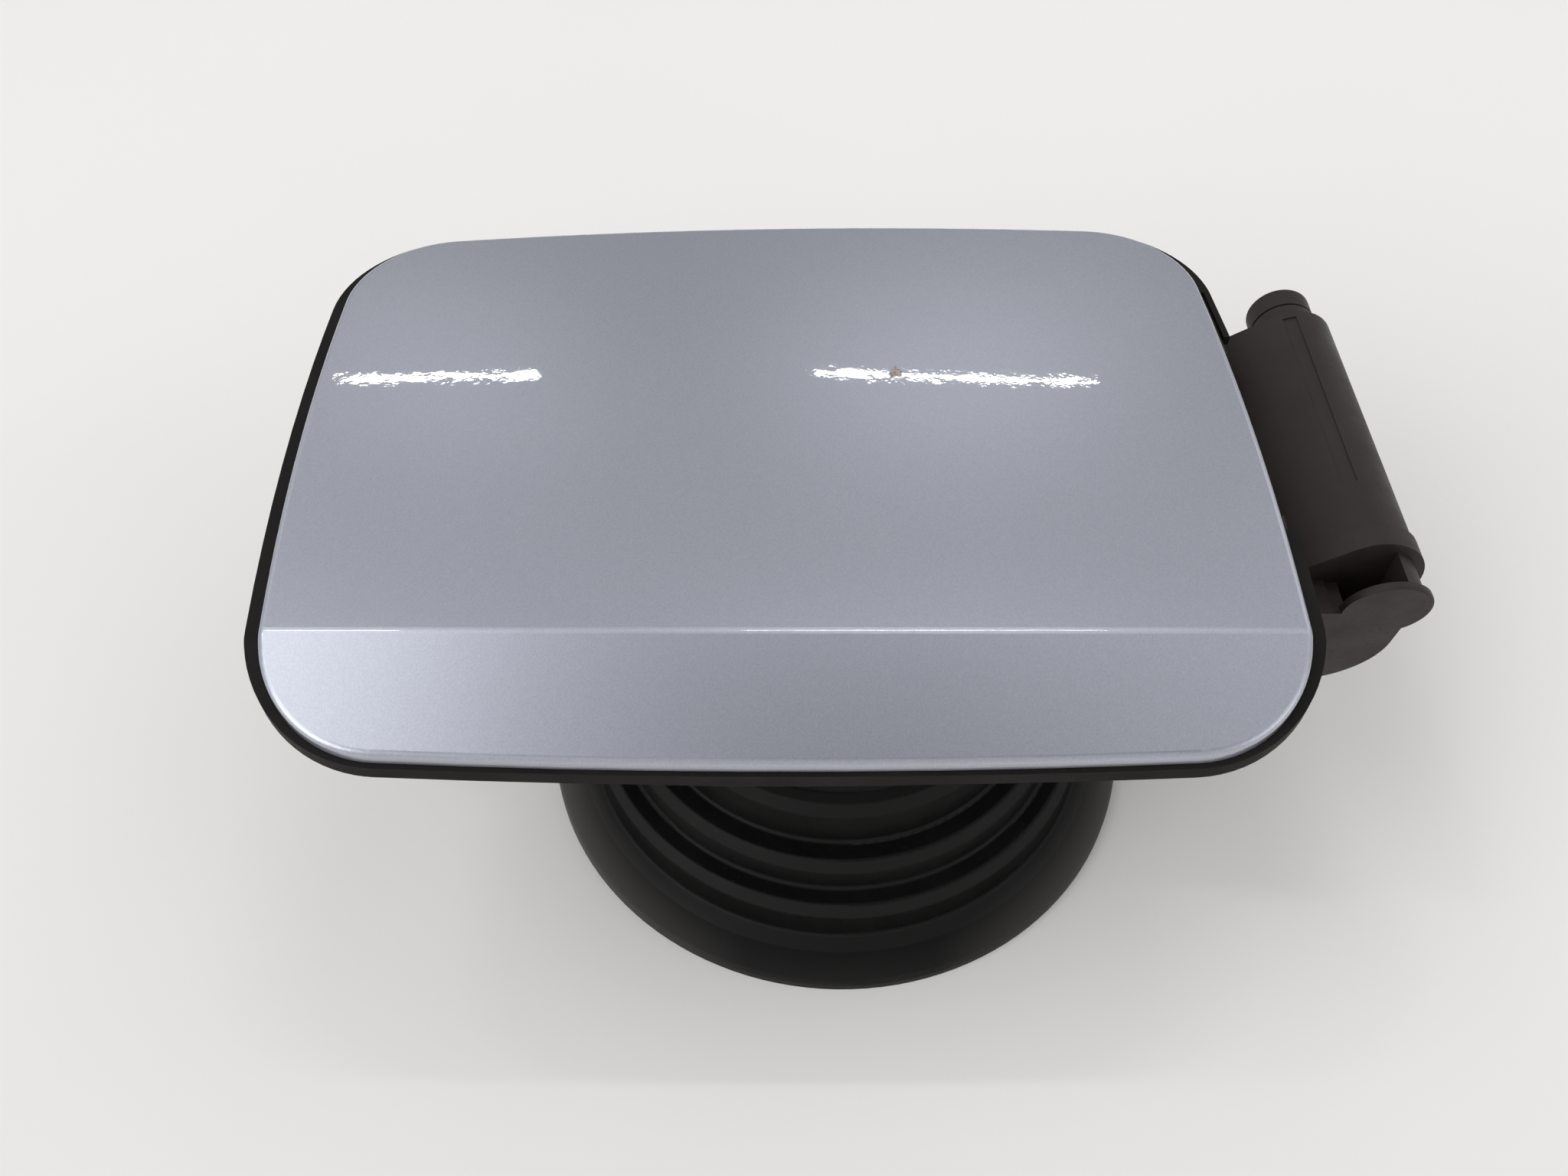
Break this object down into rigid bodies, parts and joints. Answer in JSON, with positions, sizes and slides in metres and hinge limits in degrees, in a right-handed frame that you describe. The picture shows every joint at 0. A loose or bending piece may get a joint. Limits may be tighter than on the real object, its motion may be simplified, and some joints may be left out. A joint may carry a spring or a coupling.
{
  "type": "car fuel door",
  "caption": "Painted car fuel door with a crease, hinged on a black plastic filler pot with a side hinge pocket, standing on a stepped round rubber boot.",
  "frame": {"origin": "middle of the boot's mouth, on the face that seals against the body", "axes": "+X towards the hinge, +Y towards the door's far edge, +Z out of the car's body"},
  "size_m": [0.2274, 0.1486, 0.0922],
  "materials": {
    "paint": "metallic silver-blue with clear coat",
    "paint_inside": "satin overspray of the same paint",
    "arm_plastic": "fine grain",
    "pot_plastic": "fine grain, slightly faded",
    "bush_plastic": "smooth",
    "seal_rubber": "matt",
    "boot_rubber": "matt",
    "screw_steel": "zinc plated",
    "spring_steel": "plain"
  },
  "bodies": {
    "pot": {"filler_pot": "pot_plastic", "rim_seal": "seal_rubber", "bump_stop_near": "seal_rubber", "bump_stop_far": "seal_rubber", "hinge_pin": "screw_steel", "pin_cap": "pot_plastic", "torsion_spring": "spring_steel", "lock_grommet": "seal_rubber", "filler_boot": "boot_rubber", "boot_clamp": "spring_steel"},
    "door": {"door_skin": "paint", "door_inner_panel": "paint_inside", "hinge_arm": "arm_plastic", "arm_screws": "screw_steel", "hinge_bush_near": "bush_plastic", "hinge_bush_far": "bush_plastic", "latch_hook": "arm_plastic", "latch_screws": "screw_steel", "cap_holder": "arm_plastic"}
  },
  "joints": [
    {"name": "door_hinge", "type": "hinge", "parent": "pot", "child": "door", "pos_m": [0.1037, 0.0148, 0.0743], "axis": [0, 1, 0], "range_deg": [0, 70], "stiffness_Nm_per_rad": 0.05, "springref_deg": -20.05, "deforming": ["torsion_spring"]}
  ]
}
